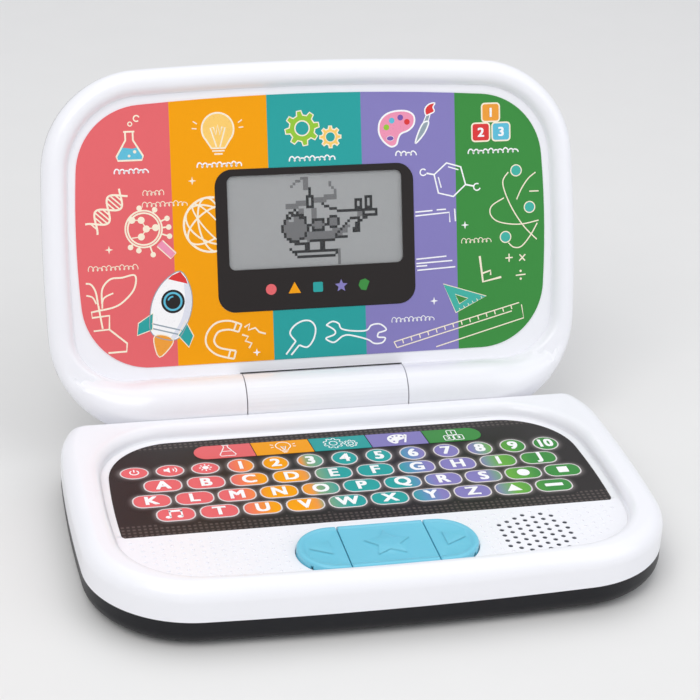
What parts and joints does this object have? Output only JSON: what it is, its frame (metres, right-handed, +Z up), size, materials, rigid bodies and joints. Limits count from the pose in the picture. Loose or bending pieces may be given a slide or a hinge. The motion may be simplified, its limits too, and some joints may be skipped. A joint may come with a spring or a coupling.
{
  "type": "toy laptop computer",
  "caption": "Hinged toy laptop with a printed membrane keyboard, push buttons, speaker and a small screen in the lid.",
  "frame": {"origin": "on the table, under the middle of the open toy's outline", "axes": "+X along the hinge to the user's right, +Y towards the back, +Z up"},
  "size_m": [0.25, 0.2133, 0.1734],
  "materials": {
    "white_shell": "white ABS, polished mould finish",
    "black_shell": "near-black ABS, fine spark texture",
    "button_blue": "sky-blue ABS, polished",
    "key_film": "printed polycarbonate film, dark ground with coloured keys",
    "membrane_film": "polyester switch membrane",
    "label_print": "printed self-adhesive label in five coloured stripes",
    "lens_clear": "clear acrylic window with a printed dark border",
    "lcd_glass": "grey reflective liquid-crystal panel",
    "circuit_board": "green fibreglass board",
    "chip_resin": "black epoxy",
    "silicone": "translucent silicone",
    "foot_rubber": "black rubber",
    "steel": "zinc-plated steel",
    "spring_steel": "nickel-plated spring steel",
    "magnet_steel": "plated ferrite magnet",
    "speaker_paper": "black film cone",
    "cell_jacket": "plain green cell jacket",
    "cable_jacket": "grey PVC",
    "nylon": "natural nylon"
  },
  "bodies": {
    "base": {"top_housing": "white_shell", "bottom_housing": "black_shell", "battery_door": "black_shell", "door_screw": "steel", "case_screws": "steel", "rubber_feet": "foot_rubber", "hinge_pins": "steel", "keyboard_overlay": "key_film", "keyboard_membrane": "membrane_film", "membrane_tail": "membrane_film", "main_board": "circuit_board", "main_chips": "chip_resin", "button_board": "circuit_board", "button_mat": "silicone", "speaker_basket": "steel", "speaker_cone": "speaker_paper", "speaker_magnet": "magnet_steel", "speaker_retainer": "black_shell", "retainer_screws": "steel", "aa_cells": "cell_jacket", "battery_contacts": "spring_steel", "battery_springs": "spring_steel", "display_cable_base": "cable_jacket"},
    "lid": {"lid_front": "white_shell", "lid_back": "black_shell", "lid_screws": "steel", "hinge_bushes": "nylon", "screen_label": "label_print", "screen_lens": "lens_clear", "lcd_panel": "lcd_glass", "lcd_frame": "nylon", "lcd_board": "circuit_board", "display_cable_lid": "cable_jacket"},
    "left_button": {"left_button": "button_blue"},
    "star_button": {"star_button": "button_blue"},
    "right_button": {"right_button": "button_blue"}
  },
  "joints": [
    {"name": "lid_hinge", "type": "hinge", "parent": "base", "child": "lid", "pos_m": [0, 0.04776, 0.0287], "axis": [1, 0, 0], "range_deg": [0, 108]},
    {"name": "left_button_press", "type": "slide", "parent": "base", "child": "left_button", "axis": [0, 0, -1], "range_m": [0, 0.0012], "stiffness_N_per_m": 700, "springref_m": -0.0006},
    {"name": "star_button_press", "type": "slide", "parent": "base", "child": "star_button", "axis": [0, 0, -1], "range_m": [0, 0.0012], "stiffness_N_per_m": 700, "springref_m": -0.0006},
    {"name": "right_button_press", "type": "slide", "parent": "base", "child": "right_button", "axis": [0, 0, -1], "range_m": [0, 0.0012], "stiffness_N_per_m": 700, "springref_m": -0.0006}
  ]
}
